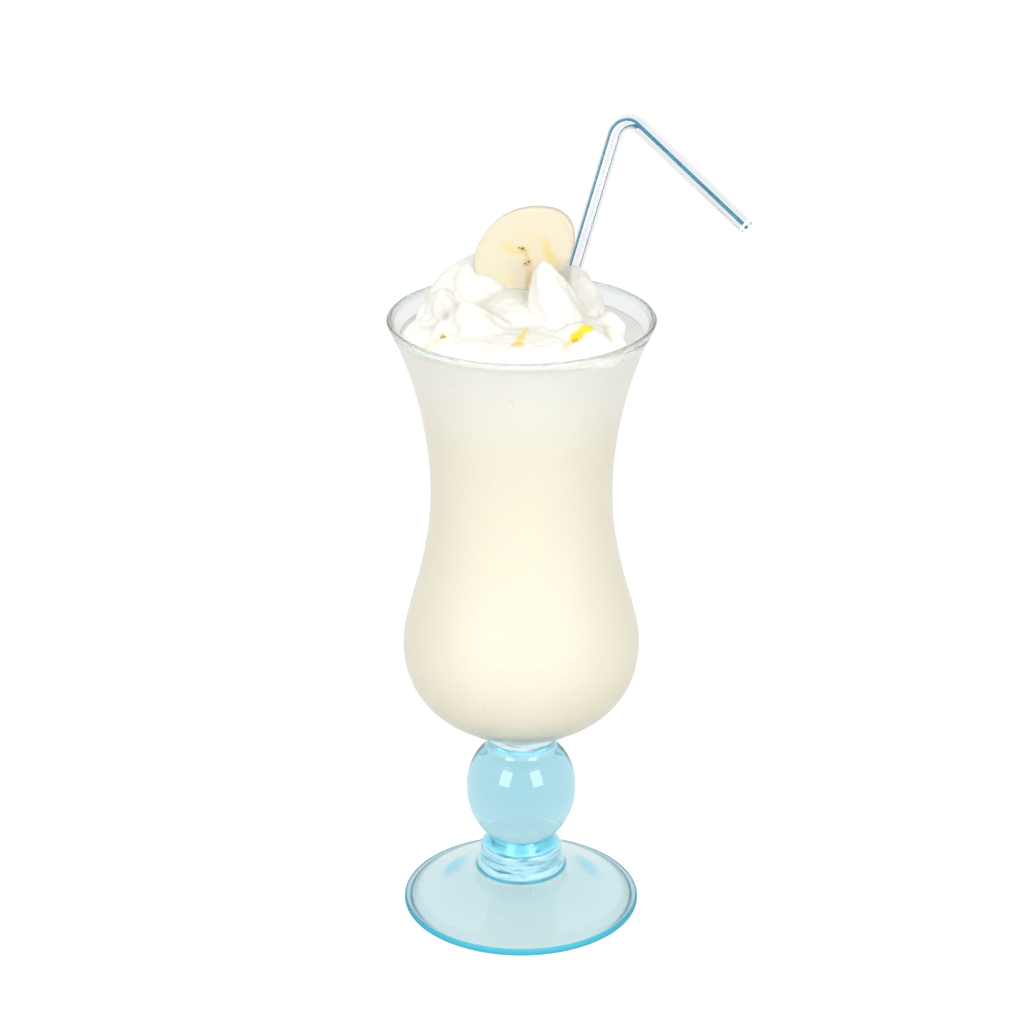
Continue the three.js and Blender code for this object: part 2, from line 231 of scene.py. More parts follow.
# painted shade: the drink's upward-facing surface is greyer, from where its normal begins to face up to where
# it fully does
TOP_SHADE_COLOUR = (0.75, 0.75, 0.71)
TOP_SHADE_FACING = (0.6, 0.9)
FLECK_COLOUR = (0.93, 0.86, 0.68)
FLECK_NOISE = (0.5, 4)
FLECK_SHARE = (0.66, 0.76)
CREAM_COLOUR = (0.615, 0.605, 0.56)
CREAM_PAINTED_LIGHT = (9.5, 1)  # how far above the drink's level painted light begins to turn the shaded low cream to the foam colour, and where it is all foam colour
CREAM_GLOW = 0.25  # light that scatters inside the cream
CREAM_FREE = (2.5, 5)  # how far above the level that light begins and is full
CREAM_SPREAD = (0.004, 0.0032, 0.0022)  # how far it spreads in metres, for red, green and blue
CREAM_ROUGH = 0.45
CREAM_GRAIN = (0.5, 3, 0.2)  # fineness, detail and strength
CREAM_WAVE = (0.35, 3)
TINT_SOFT = 0.8
# ragged edges of the painted shade in the crevices
CREVICE_SHADE_WAVE = (0.7, 1.4)
CREVICE_SHADE_SOFT = 0.55
# colours of painted shade: warm and cool in the cream's folds, yellow and amber in its crevices
WARM_SHADE = (0.58, 0.55, 0.45)
COOL_SHADE = (0.57, 0.59, 0.585)
YELLOW_SHADE = (0.64, 0.53, 0.12)
AMBER_SHADE = (0.48, 0.27, 0.02)
# patches of painted shade in the cream's folds and crevices: centre and radii in millimetres, turn in
# degrees, colour and strength
CREAM_FOLD_SHADE = [
    ((-9.1, -16.6, 205), (3, 4, 6), (0, 20, 0), WARM_SHADE, 0.9),
    ((20, -1, 203), (5, 6, 7), (0, 0, 0), WARM_SHADE, 0.9),
    ((25, -14, 199), (3, 7, 5), (0, 0, 0), WARM_SHADE, 1.0),
    ((-18, -14, 207), (3, 4, 6), (0, 0, 0), (0.54, 0.53, 0.46), 0.8),
    ((-3.5, -13.5, 202.4), (3, 3, 4), (0, 0, 0), COOL_SHADE, 0.8),
    ((-26, -22, 198), (5, 4, 3), (0, 0, 0), (0.62, 0.63, 0.42), 0.8),
]
# painted shade: yellow and amber patches in the crevices between the folds
CREVICE_SHADE = [
    ((0.9, -19, 200.9), (1.1, 5.5, 4), (0, 0, -12), YELLOW_SHADE, 0.75),
    ((-0.3, -24, 200.4), (1.7, 5, 4), (0, 0, -12), YELLOW_SHADE, 0.8),
    ((-1.2, -28, 200.0), (2.6, 2.6, 4), (0, 0, 20), (0.64, 0.48, 0.16), 0.8),
    ((18.8, -18, 201.0), (4.2, 2.2, 4), (0, 0, 42), (0.62, 0.54, 0.03), 1.0),
    ((16, -21.6, 200.2), (4.4, 2.2, 4), (0, 0, 52), (0.6, 0.5, 0.01), 1.0),
    ((13.2, -26, 199.6), (1.3, 4.2, 4), (0, 0, -20), (0.64, 0.56, 0.25), 0.7),
    ((15.5, -23, 199.8), (1.6, 1, 3), (0, 0, 40), AMBER_SHADE, 0.85),
    ((-23.2, -19.8, 199.7), (1.2, 1.6, 2), (0, 0, 0), (0.36, 0.24, 0.06), 0.9),
    ((-23.6, -18.4, 200), (1.5, 1.2, 2), (0, 0, 0), (0.6, 0.45, 0.1), 0.6),
]
FLESH_COLOUR = (0.55, 0.5, 0.378)
RIND_COLOUR = (0.52, 0.475, 0.365)
RIND_SOFT = 0.07
SEED_COLOUR = (0.09, 0.045, 0.012)
SEED_STRENGTH = 0.9
SEED_SOFT = 0.5
FLESH_WAVE = (0.28, 2.2)
FLESH_ROUGH = 0.4
FLESH_GLOW = 0.25
FLESH_SPREAD = (0.002, 0.0015, 0.0008)
FLESH_FIBRE = (0.8, 4, 0.15)
PATCH_DEEP = 9  # patches of the cut face reach through the slice
RIPE = (0.56, 0.465, 0.18)
# painted light: a paler lower part of the cut face, where the cream shades it
PAINTED_LIGHT_LOW = (0.63, 0.575, 0.43)
CORE_BROWN = (0.5, 0.36, 0.2)
# patches on the cut face, right and up from its middle; the first is painted light that brightens its lower
# part, where the cream shades it
FLESH_PATCHES = [
    ((-2, -11), (16, 8), 10, PAINTED_LIGHT_LOW, 1.0),
    ((0, 2), (11, 8), 0, (0.55, 0.488, 0.325), 0.9),
    ((7.2, 2), (2.6, 7), 24, RIPE, 0.85),
    ((8.5, -0.8), (2.6, 3), 24, RIPE, 0.9),
    ((-3.8, 1.5), (5, 2.2), -15, RIPE, 0.85),
    ((-5, -8), (4.5, 3.5), 20, (0.6, 0.53, 0.3), 0.7),
    ((10.5, -2.8), (1.8, 1.3), 30, (0.56, 0.46, 0.34), 0.7),
    ((-0.2, 1.6), (2.4, 2), 0, (0.5, 0.34, 0.12), 0.8),
    ((0.9, -0.2), (1.6, 2.6), 20, (0.54, 0.4, 0.2), 0.8),
    ((1.6, -2.4), (2.4, 2), 0, (0.5, 0.33, 0.13), 0.8),
    ((2, -6.5), (1.8, 5), -6, (0.54, 0.4, 0.2), 0.9),
    ((1.5, -9.8), (0.9, 3.4), 0, CORE_BROWN, 0.8),
]
SEEDS = [
    ((-0.2, 1.85), (0.75, 0.55), 30),
    ((-1.2, 2), (0.6, 0.3), -10),
    ((0.6, 1.3), (0.3, 0.2), 50),
    ((1, 0.1), (0.25, 0.2), 30),
    ((1.7, -2.1), (0.7, 0.4), 30),
    ((0.6, -2.7), (0.6, 0.35), 10),
    ((1.2, -3.1), (0.3, 0.2), 0),
]
GRAIN_DEPTH = 0.001
STRAW_TINT = (0.97, 0.985, 1)
STRAW_IOR = 1.3
STRAW_NOISE = (0.4, 2)
STRAW_HAZE = (-0.5, 6)
STRIPE_COLOURS = ((0.01, 0.15, 0.25), (0.015, 0.22, 0.34))
STRIPE_NOISE = (0.3, 2)
STRIPE_SHARE = (0.3, 0.7)
STRIPE_ROUGH = 0.3
STRIPE_CLEAR = 0.35
CUT_NOISE = (1.5, 2)
CUT_COLOURS = ((0.8, 0.84, 0.86), (0.9, 0.93, 0.95))


# Outlines of turned pieces


def curve(start, *controls, steps=12):
    """Points of a quadratic or cubic curve after its start."""
    points = [Vector(start)] + [Vector(c) for c in controls]
    found = []
    for i in range(1, steps + 1):
        t = i / steps
        row = points
        while len(row) > 1:
            row = [a.lerp(b, t) for a, b in zip(row, row[1:])]
        found.append(row[0])
    return found


def wall_curve(steps=24):
    """The bowl's outer wall from the neck to the rim."""
    neck = (NECK_R, BELLY_Z)
    bulge = (BULGE_R, BULGE_Z)
    waist = (WAIST_R, WAIST_Z)
    rim = (RIM_R, RIM_Z)
    from_neck = (NECK_R + NECK_PULL[0], BELLY_Z + NECK_PULL[1])
    below_bulge = (BULGE_R, BULGE_Z - BULGE_PULL[0])
    above_bulge = (BULGE_R, BULGE_Z + BULGE_PULL[1])
    below_waist = (WAIST_R, WAIST_Z - WAIST_PULL[0])
    above_waist = (WAIST_R, WAIST_Z + WAIST_PULL[1])
    flare = (RIM_R - RIM_FLARE * RIM_REACH, RIM_Z - RIM_REACH)
    wall = [Vector(neck)]
    wall += curve(neck, from_neck, below_bulge, bulge, steps=steps)
    wall += curve(bulge, above_bulge, below_waist, waist, steps=steps)
    wall += curve(waist, above_waist, flare, rim, steps=steps)
    return wall


def inset_wall(share, gap=0):
    """The wall moved inwards, square to its own direction, by a share of its thickness and a gap."""
    wall = wall_curve()
    moved = []
    for i, point in enumerate(wall):
        along = (wall[min(i + 1, len(wall) - 1)] - wall[max(i - 1, 0)]).normalized()
        thinned = max((point.y - THIN_Z) / (RIM_Z - THIN_Z), 0)
        low = max((BOTTOM_Z - point.y) / (BOTTOM_Z - BELLY_Z), 0)
        inset = share * (WALL - (WALL - RIM_WALL) * thinned + BOTTOM_EXTRA * low**2) + gap
        moved.append(point + Vector((-along.y, along.x)) * inset)
    return moved


def radius_at(outline, z):
    """The outline's radius at a height."""
    for low, high in zip(outline, outline[1:]):
        if low.y <= z <= high.y:
            return low.x + (high.x - low.x) * (z - low.y) / (high.y - low.y)
    raise ValueError(z)


def bowl_outline():
    """The wall's outer side, the round lip and the inner side, from the seam up and down again."""
    outer = inset_wall(0)
    inner = inset_wall(1)
    middle = (outer[-1] + inner[-1]) / 2
    tilt = math.atan2(outer[-1].y - inner[-1].y, outer[-1].x - inner[-1].x)
    turns = [tilt + math.pi * i / 12 for i in range(1, 12)]
    lip = [middle + Vector((math.cos(a), math.sin(a))) * LIP_R for a in turns]
    neck = [Vector((0, JOIN_Z)), Vector((NECK_R, JOIN_Z))]
    floor = Vector((0, inner[0].y))
    return neck + outer + lip + inner[::-1] + [floor]


def stem_outline():
    """From the hollow under the foot outwards and up to the seam; small offsets round the pressed rings."""
    points = [Vector((0, HOLLOW_Z))]
    points += curve(points[-1], (HOLLOW_R / 3, HOLLOW_Z), (HOLLOW_R, HOLLOW_BEVEL), steps=24)
    points += curve(points[-1], (HOLLOW_R + 0.5, 0.9), (HOLLOW_R + 1, 0), steps=5)
    points.append(Vector((FOOT_R - FOOT_ROUND, 0)))

    def on(*controls, steps=10):
        points.extend(curve(points[-1], *controls, steps=steps))

    on((FOOT_R, 0), (FOOT_R, FOOT_EDGE / 2), steps=6)
    on((FOOT_R, FOOT_EDGE), (FOOT_R - FOOT_ROUND_TOP, FOOT_EDGE), steps=6)
    on(FOOT_SLOPE, (BASE_R, BASE_Z), steps=20)
    on((BASE_R + 0.2, BASE_Z + 0.8), (BASE_R, BASE_Z + 1.5), steps=6)
    on((BASE_R - 0.1, STEP_Z), (RING_R, STEP_Z), steps=6)
    on((RING_R + 0.1, STEP_Z + 2), (RING_R, RING_ROUND_Z))
    on((RING_R, CONE_Z - 0.3), (CONE_R, CONE_Z))
    on((CONE_R - 0.7, CONE_Z + 0.8), (CREASE_R, CREASE_Z))
    on((CREASE_R + 2.6, CREASE_Z + 1), (BALL_R, BALL_Z - 9.8), (BALL_R, BALL_Z), steps=24)
    on((BALL_R, BALL_Z + 6.8), (SHOULDER_R + 2.9, SHOULDER_Z - 2.5), (SHOULDER_R, SHOULDER_Z), steps=20)
    on((NECK_R + 0.1, SHOULDER_Z + 1.2), (NECK_R, JOIN_Z))
    return points + [Vector((NECK_R - FUSED, JOIN_Z + FUSED)), Vector((0, JOIN_Z + FUSED))]


def milk_outline():
    """The drink up to its level, with the edge that creeps up the wall."""
    wall = inset_wall(1, -INTO_WALL)
    edge = radius_at(wall, LEVEL_Z + MENISCUS)
    points = [Vector((0, wall[0].y))]
    points += [p for p in wall if p.y < LEVEL_Z + MENISCUS]
    points.append(Vector((edge, LEVEL_Z + MENISCUS)))
    for back in MENISCUS_BACK:
        rise = MENISCUS * math.exp(-(back - MENISCUS_BACK[0]) / MENISCUS_FALL)
        points.append(Vector((edge - back, LEVEL_Z + rise)))
    points.append(Vector((edge - MENISCUS_END, LEVEL_Z)))
    return points + [Vector((0, LEVEL_Z))]


def cream_room_outline():
    """The room inside the glass and above it that the cream may take."""
    wall = inset_wall(1, -CREAM_INTO_WALL)
    low = LEVEL_Z - BED["sunk"] - 1
    top = RIM_Z - CREAM_BELOW_RIM
    points = [Vector((0, low)), Vector((radius_at(wall, low), low))]
    points += [p for p in wall if low < p.y < top]
    edge = radius_at(wall, top)
    points.append(Vector((edge, top)))
    points += curve(points[-1], (edge - 1, top + 0.6), (edge - 2, top + 3.5), steps=6)
    above = top + CREAM_ROOM_ABOVE
    return points + [Vector((edge - 2, above)), Vector((0, above))]


# Meshes


def add_object(name, data):
    made = bpy.data.objects.new(name, data)
    bpy.context.scene.collection.objects.link(made)
    return made


def new_piece(name, verts, faces):
    """An object from points in millimetres."""
    mesh = bpy.data.meshes.new(name)
    mesh.from_pydata([tuple(Vector(v) * MM) for v in verts], [], faces)
    mesh.validate()
    return add_object(name, mesh)


def turned(outline, sides):
    """Points and faces of a closed body of revolution; the outline starts and ends on the axis."""
    ring_points = outline[1:-1]
    verts = [(0, 0, outline[0].y)]
    for p in ring_points:
        for k in range(sides):
            angle = 2 * math.pi * k / sides
            verts.append((p.x * math.cos(angle), p.x * math.sin(angle), p.y))
    verts.append((0, 0, outline[-1].y))
    last = len(verts) - 1
    faces = []
    for k in range(sides):
        after = (k + 1) % sides
        faces.append((0, 1 + after, 1 + k))
        for row in range(len(ring_points) - 1):
            a = 1 + row * sides
            faces.append((a + k, a + after, a + sides + after, a + sides + k))
        top = 1 + (len(ring_points) - 1) * sides
        faces.append((top + k, top + after, last))
    return verts, faces


def smooth(piece, sharp=40):
    piece.data.shade_smooth()
    piece.data.set_sharp_from_angle(angle=math.radians(sharp))


def apply_modifier(piece, kind, **settings):
    modifier = piece.modifiers.new(kind, kind)
    for key, value in settings.items():
        setattr(modifier, key, value)
    graph = bpy.context.evaluated_depsgraph_get()
    result = bpy.data.meshes.new_from_object(piece.evaluated_get(graph))
    piece.modifiers.clear()
    old = piece.data
    piece.data = result
    bpy.data.meshes.remove(old)


def cut(piece, tool, how="DIFFERENCE"):
    apply_modifier(piece, "BOOLEAN", object=tool, operation=how, solver="MANIFOLD")


def cut_with(piece, verts, faces, how="DIFFERENCE"):
    """Cuts a piece by a body that is then dropped."""
    tool = new_piece("tool", verts, faces)
    cut(piece, tool, how)
    mesh = tool.data
    bpy.data.objects.remove(tool)
    bpy.data.meshes.remove(mesh)


# Cream


def lobe(x, y, wide, deep, top, full, tip, turn=0, lean=(0, 0)):
    """One piped lobe: a fluted, slightly twisted body that leans over to its tip."""
    outline = [Vector((0, 0))]
    for i in range(LOBE_RINGS + 1):
        t = i / LOBE_RINGS
        outline.append(Vector((max(1 - t**full, 0) ** tip, t)))
    verts, faces = turned(outline, LOBE_SIDES)
    facing = math.radians(turn)
    placed = []
    for vx, vy, t in verts:
        angle = math.atan2(vy, vx)
        flute = 1 + RIDGE_DEPTH * math.cos(RIDGES * (angle + RIDGE_TURN * t))
        across = vx * flute * wide
        along = vy * flute * deep
        over = t**LEAN_POWER
        placed.append(
            (
                x + across * math.cos(facing) - along * math.sin(facing) + lean[0] * over,
                y + across * math.sin(facing) + along * math.cos(facing) + lean[1] * over,
                LEVEL_Z - LOBE_SUNK + (top - LEVEL_Z + LOBE_SUNK) * t,
            )
        )
    return placed, faces


def bed():
    """The cream's bed: flat below, sunk into the drink, and a squarish dome above."""
    low = LEVEL_Z - BED["sunk"]
    outline = [Vector((0, low)), Vector((BED["foot"], low)), Vector((1, BED["edge"]))]
    steps = 30
    for i in range(1, steps + 1):
        angle = i / steps * math.pi / 2
        across = max(math.cos(angle), 0) ** (2 / BED["square"])
        up = math.sin(angle) ** (2 / BED["square"])
        outline.append(Vector((0 if i == steps else across, BED["edge"] + (BED["top"] - BED["edge"]) * up)))
    verts, faces = turned(outline, ROUND_SIDES)
    return [(BED["x"] + x * BED["half_x"], BED["y"] + y * BED["half_y"], z) for x, y, z in verts], faces


def heap():
    """The bed and the lobes as one skin."""
    verts = []
    faces = []
    for part_verts, part_faces in [bed()] + [lobe(**one) for one in LOBES.values()]:
        start = len(verts)
        verts += part_verts
        faces += [tuple(start + i for i in face) for face in part_faces]
    piece = new_piece("whipped_cream_skin", verts, faces)
    apply_modifier(piece, "REMESH", mode="VOXEL", voxel_size=CREAM_VOXEL * MM)
    apply_modifier(piece, "SMOOTH", factor=0.5, iterations=2)
    points = [(v.co.copy(), v.normal.copy()) for v in piece.data.vertices]
    for v, (co, normal) in zip(piece.data.vertices, points):
        place = co / MM
        swell = sum(height * noise.noise(place * fineness) for height, fineness in SWELLS)
        v.co = co + normal * swell * MM
    return piece


# Straw


class StrawRoute:
    """A straight leg, a round bend and a short leg, all in one plane."""

    def __init__(self):
        out = (STRAW_TIP - STRAW_CORNER).normalized()
        self.turn = STRAW_LEAN.angle(out)
        cut_back = STRAW_BEND_R * math.tan(self.turn / 2)
        tip_leg = (STRAW_TIP - STRAW_CORNER).length - cut_back
        self.inward = (out - STRAW_LEAN * out.dot(STRAW_LEAN)).normalized()
        self.normal = STRAW_LEAN.cross(self.inward).normalized()
        if self.normal.y > 0:
            self.normal.negate()
        self.bend_start = STRAW_CORNER - STRAW_LEAN * cut_back
        self.bend_end = STRAW_CORNER + out * cut_back
        self.foot = self.bend_start + STRAW_LEAN * (tip_leg + STRAW_BEND_R * self.turn - STRAW_LENGTH)

    def stations(self, bend_steps=28, leg_steps=12):
        """(place, outward direction in the bend's plane, share of the bend passed), foot to tip."""
        found = []
        for i in range(leg_steps):
            found.append((self.foot.lerp(self.bend_start, i / leg_steps), -self.inward, 0))
        for i in range(bend_steps + 1):
            angle = self.turn * i / bend_steps
            out = -self.inward * math.cos(angle) + STRAW_LEAN * math.sin(angle)
            centre = self.bend_start + self.inward * STRAW_BEND_R
            found.append((centre + out * STRAW_BEND_R, out, i / bend_steps))
        outward = found[-1][1]
        for i in range(1, leg_steps):
            found.append((self.bend_end.lerp(STRAW_TIP, i / leg_steps), outward, 1))
        back = (self.bend_end - STRAW_TIP).normalized() * STRAW_CUT
        return found + [(STRAW_TIP + back, outward, 1), (STRAW_TIP, outward, 1)]


def straw_tube(outer, bore):
    """Points and faces of the tube, and each face's kind."""
    route = StrawRoute()
    stations = route.stations()
    last = len(stations) - 1
    rows = [(outer, i) for i in range(last + 1)] + [(bore, i) for i in range(last, -1, -1)]
    verts = []
    for radius, i in rows:
        place, out = stations[i][:2]
        for k in range(STRAW_SIDES):
            angle = 2 * math.pi * k / STRAW_SIDES
            verts.append(place + (route.normal * math.cos(angle) + out * math.sin(angle)) * radius)
    faces = []
    kinds = []
    for row in range(len(rows)):
        a = row * STRAW_SIDES
        b = ((row + 1) % len(rows)) * STRAW_SIDES
        i, j = rows[row][1], rows[(row + 1) % len(rows)][1]
        at_cut = i == j or min(i, j) == last - 1
        stripe = STRIPE_LOW + (STRIPE_HIGH - STRIPE_LOW) * stations[i][2]
        for k in range(STRAW_SIDES):
            after = (k + 1) % STRAW_SIDES
            faces.append((a + k, a + after, b + after, b + k))
            middle = 360 * (k + 0.5) / STRAW_SIDES - stripe
            off = abs((middle + 90) % 180 - 90)
            side = STRIPED if off < STRIPE_HALF else PLAIN
            kinds.append(CUT_END if at_cut else side)
    return verts, faces, kinds


def straw_rod(radius):
    """The room that the straw's long leg takes."""
    route = StrawRoute()
    sides = 48
    turn = Vector((0, 0, 1)).rotation_difference(STRAW_LEAN)
    top = (route.bend_start - route.foot).length
    verts = []
    for height in (0, top):
        for k in range(sides):
            angle = 2 * math.pi * k / sides
            corner = Vector((radius * math.cos(angle), radius * math.sin(angle), height))
            verts.append(route.foot + turn @ corner)
    faces = [tuple(reversed(range(sides))), tuple(range(sides, 2 * sides))]
    faces += [(k, (k + 1) % sides, sides + (k + 1) % sides, sides + k) for k in range(sides)]
    return verts, faces


# Banana slice


def slice_turn():
    """Turns the slice from its own plane to how it stands."""
    lean = Matrix.Rotation(math.radians(90 - SLICE_LEAN), 3, "X")
    turn = Matrix.Rotation(math.radians(SLICE_TURN), 3, "Z")
    return turn @ lean


def slice_profile(half, rings, edge_steps=6):
    """(share of the radius, height) from the front's middle over the rounded edge to the back's middle."""
    edge = SLICE_EDGE * 2 / SLICE_SHORT
    front = [(i / rings * (1 - edge), half) for i in range(rings + 1)]
    for i in range(1, edge_steps + 1):
        angle = math.pi / 2 * i / edge_steps
        front.append((1 - edge * (1 - math.sin(angle)), half - SLICE_EDGE * (1 - math.cos(angle))))
    return front + [(r, -z) for r, z in reversed(front)]


def slice_body(grow=0, around=120, rings=26):
    """Points and faces of the slice in its place. Its own plane has x right, y up and z to its front."""
    roll = math.radians(SLICE_ROLL)
    profile = slice_profile(SLICE_THICK / 2 + grow, rings)
    verts = []
    for r, z in profile[1:-1]:
        for k in range(around):
            angle = 2 * math.pi * k / around
            uneven = 1 + SLICE_UNEVEN * (math.cos(3 * angle + 0.6) + 0.3 * math.cos(5 * angle))
            across = (SLICE_LONG / 2 + grow) * uneven * r * math.cos(angle)
            up = (SLICE_SHORT / 2 + grow) * uneven * r * math.sin(angle)
            x = across * math.cos(roll) - up * math.sin(roll)
            y = across * math.sin(roll) + up * math.cos(roll)
            verts.append(Vector((x, y, z)))
    count = len(profile) - 2
    front = len(verts)
    verts.append(Vector((0, 0, profile[0][1])))
    verts.append(Vector((0, 0, profile[-1][1])))
    faces = []
    for k in range(around):
        after = (k + 1) % around
        faces.append((front, k, after))
        for row in range(count - 1):
            a = row * around
            faces.append((a + k, a + around + k, a + around + after, a + after))
        a = (count - 1) * around
        faces.append((a + k, front + 1, a + after))
    turn = slice_turn()
    return [turn @ v + SLICE_CENTRE for v in verts], faces


# Materials


def material(name):
    made = bpy.data.materials.new(name)
    made.use_nodes = True
    nodes = made.node_tree.nodes
    return made, nodes, made.node_tree.links, nodes["Principled BSDF"]


def mix_colour(nodes, links, share, under, over):
    """One colour or socket laid over another by a share."""
    mix = nodes.new("ShaderNodeMix")
    mix.data_type = "RGBA"
    links.new(share, mix.inputs["Factor"])
    for name, one in (("A", under), ("B", over)):
        sockets = [i for i in mix.inputs if i.name == name and i.type == "RGBA"]
        if isinstance(one, tuple):
            sockets[0].default_value = (*one, 1)
        else:
            links.new(one, sockets[0])
    return [o for o in mix.outputs if o.type == "RGBA"][0]


def ramp_of(nodes, links, value, low, high, most=1.0):
    """0 where the value is low, the most where it is high."""
    step = nodes.new("ShaderNodeMapRange")
    step.interpolation_type = "SMOOTHSTEP"
    step.inputs["From Min"].default_value = low
    step.inputs["From Max"].default_value = high
    step.inputs["To Max"].default_value = most
    links.new(value, step.inputs["Value"])
    return step.outputs["Result"]


def noise_of(nodes, links, place, fineness, detail=3, output="Fac"):
    made = nodes.new("ShaderNodeTexNoise")
    made.inputs["Scale"].default_value = fineness
    made.inputs["Detail"].default_value = detail
    links.new(place, made.inputs["Vector"])
    return made.outputs[output]


def wavy_place(nodes, links, place, fineness, reach):
    """A place shifted to and fro by noise, for uneven edges."""
    wave = noise_of(nodes, links, place, fineness, output="Color")
    shifted = nodes.new("ShaderNodeVectorMath")
    shifted.operation = "MULTIPLY_ADD"
    shifted.inputs[1].default_value = (reach, reach, reach)
    links.new(maths_vector(nodes, links, "SUBTRACT", wave, (0.5, 0.5, 0.5)), shifted.inputs[0])
    links.new(place, shifted.inputs[2])
    return shifted.outputs[0]


def own_frame(nodes, links, place, location, turn, scale):
    """A place as seen from something with its own location, turn in degrees and scale."""
    own = nodes.new("ShaderNodeMapping")
    own.vector_type = "TEXTURE"
    own.inputs["Location"].default_value = location
    own.inputs["Rotation"].default_value = tuple(math.radians(a) for a in turn)
    own.inputs["Scale"].default_value = scale
    links.new(place, own.inputs["Vector"])
    return own.outputs[0]


def spot(nodes, links, place, centre, radii, turn=(0, 0, 0), soft=0.5, strength=1.0):
    """Share of a soft ellipsoid: strength in its middle, 0 outside. turn is in degrees."""
    local = own_frame(nodes, links, place, centre, turn, radii)
    away = maths_vector(nodes, links, "LENGTH", local, output="Value")
    return ramp_of(nodes, links, away, 1, 1 - soft, strength)


def paint(nodes, links, place, colour, patches, soft):
    """Lays patches over a colour, one after another."""
    for centre, radii, turn, tint, strength in patches:
        share = spot(nodes, links, place, centre, radii, turn, soft, strength)
        colour = mix_colour(nodes, links, share, colour, tint)
    return colour


def millimetres(nodes, links, location=(0, 0, 0), turn=(0, 0, 0)):
    """Places on the piece in millimetres, seen from a frame of its own."""
    place = nodes.new("ShaderNodeTexCoord").outputs["Object"]
    return own_frame(nodes, links, place, tuple(c * MM for c in location), turn, (MM, MM, MM))


def z_of(nodes, links, place):
    split = nodes.new("ShaderNodeSeparateXYZ")
    links.new(place, split.inputs[0])
    return split.outputs["Z"]


def add_grain(nodes, links, shader, place, fineness, detail, strength):
    """A fine unevenness that only the light shows."""
    bump = nodes.new("ShaderNodeBump")
    bump.inputs["Strength"].default_value = strength
    bump.inputs["Distance"].default_value = GRAIN_DEPTH
    links.new(noise_of(nodes, links, place, fineness, detail), bump.inputs["Height"])
    links.new(bump.outputs[0], shader.inputs["Normal"])


def spread_light(shader, spread):
    """How far light travels inside the piece, for red, green and blue."""
    shader.inputs["Subsurface Radius"].default_value = spread
    shader.inputs["Subsurface Scale"].default_value = 1


def maths(nodes, links, operation, *values):
    node = nodes.new("ShaderNodeMath")
    node.operation = operation
    for socket, value in zip(node.inputs, values):
        if isinstance(value, (int, float)):
            socket.default_value = value
        else:
            links.new(value, socket)
    return node.outputs[0]


def maths_vector(nodes, links, operation, vector, by=(0, 0, 0), output="Vector"):
    node = nodes.new("ShaderNodeVectorMath")
    node.operation = operation
    node.inputs[1].default_value = by
    links.new(vector, node.inputs[0])
    return node.outputs[output]


def add_depth(made, colour, density):
    """Colour that the glass takes with its depth."""
    volume = made.node_tree.nodes.new("ShaderNodeVolumeAbsorption")
    volume.inputs["Color"].default_value = (*colour, 1)
    volume.inputs["Density"].default_value = density
    made.node_tree.links.new(volume.outputs[0], made.node_tree.nodes["Material Output"].inputs["Volume"])


def glass(name, colour, density):
    made, nodes, links, shader = material(name)
    shader.inputs["Transmission Weight"].default_value = 1
    shader.inputs["IOR"].default_value = GLASS_IOR
    add_depth(made, colour, density)
    return made, nodes, links, shader, millimetres(nodes, links)


def seam_material(name, colour, density):
    """The flat face where clear and blue glass are one: nothing bends there."""
    made, nodes, links, shader = material(name)
    nodes.remove(shader)
    through = nodes.new("ShaderNodeBsdfTransparent")
    links.new(through.outputs[0], nodes["Material Output"].inputs["Surface"])
    add_depth(made, colour, density)
    return made


def add_haze_and_painted_refraction(nodes, links, shader, place, tint, solid, patches):
    """Lays hazy patches, coloured with painted refraction, over a tint and a share of solid colour, and
    returns the share.
    """
    streaks = noise_of(nodes, links, maths_vector(nodes, links, "MULTIPLY", place, STREAKS), *STREAK_NOISE)
    uneven = ramp_of(nodes, links, streaks, *STREAK_SHARE)
    for centre, radii, turn, soft, colour, hides in patches:
        share = spot(nodes, links, place, centre, radii, turn, soft)
        tint = mix_colour(nodes, links, share, tint, colour)
        amount = maths(nodes, links, "MULTIPLY", maths(nodes, links, "MULTIPLY", share, uneven), hides)
        solid = maths(nodes, links, "MAXIMUM", solid, amount)
    links.new(tint, shader.inputs["Base Color"])
    links.new(maths(nodes, links, "SUBTRACT", 1, solid), shader.inputs["Transmission Weight"])
    return solid


def clear_glass_material():
    """Clear glass, grey-green at its lip and hazy where it meets the blue glass, with painted refraction
    there and at the rim.
    """
    made, nodes, links, shader, place = glass("clear_glass", *CLEAR_DEPTH)
    begins, full = LIP_BELOW
    lip = ramp_of(nodes, links, z_of(nodes, links, place), RIM_Z - begins, RIM_Z - full)
    tint = mix_colour(nodes, links, lip, WHITE, LIP_TINT)
    # haze, with painted refraction colours
    solid = add_haze_and_painted_refraction(nodes, links, shader, place, tint, 0, CLEAR_HAZE_AND_PAINTED_REFRACTION)
    blur = maths(nodes, links, "MULTIPLY", lip, LIP_BLUR)
    links.new(maths(nodes, links, "MULTIPLY_ADD", solid, HAZE_BLUR, blur), shader.inputs["Roughness"])
    return made


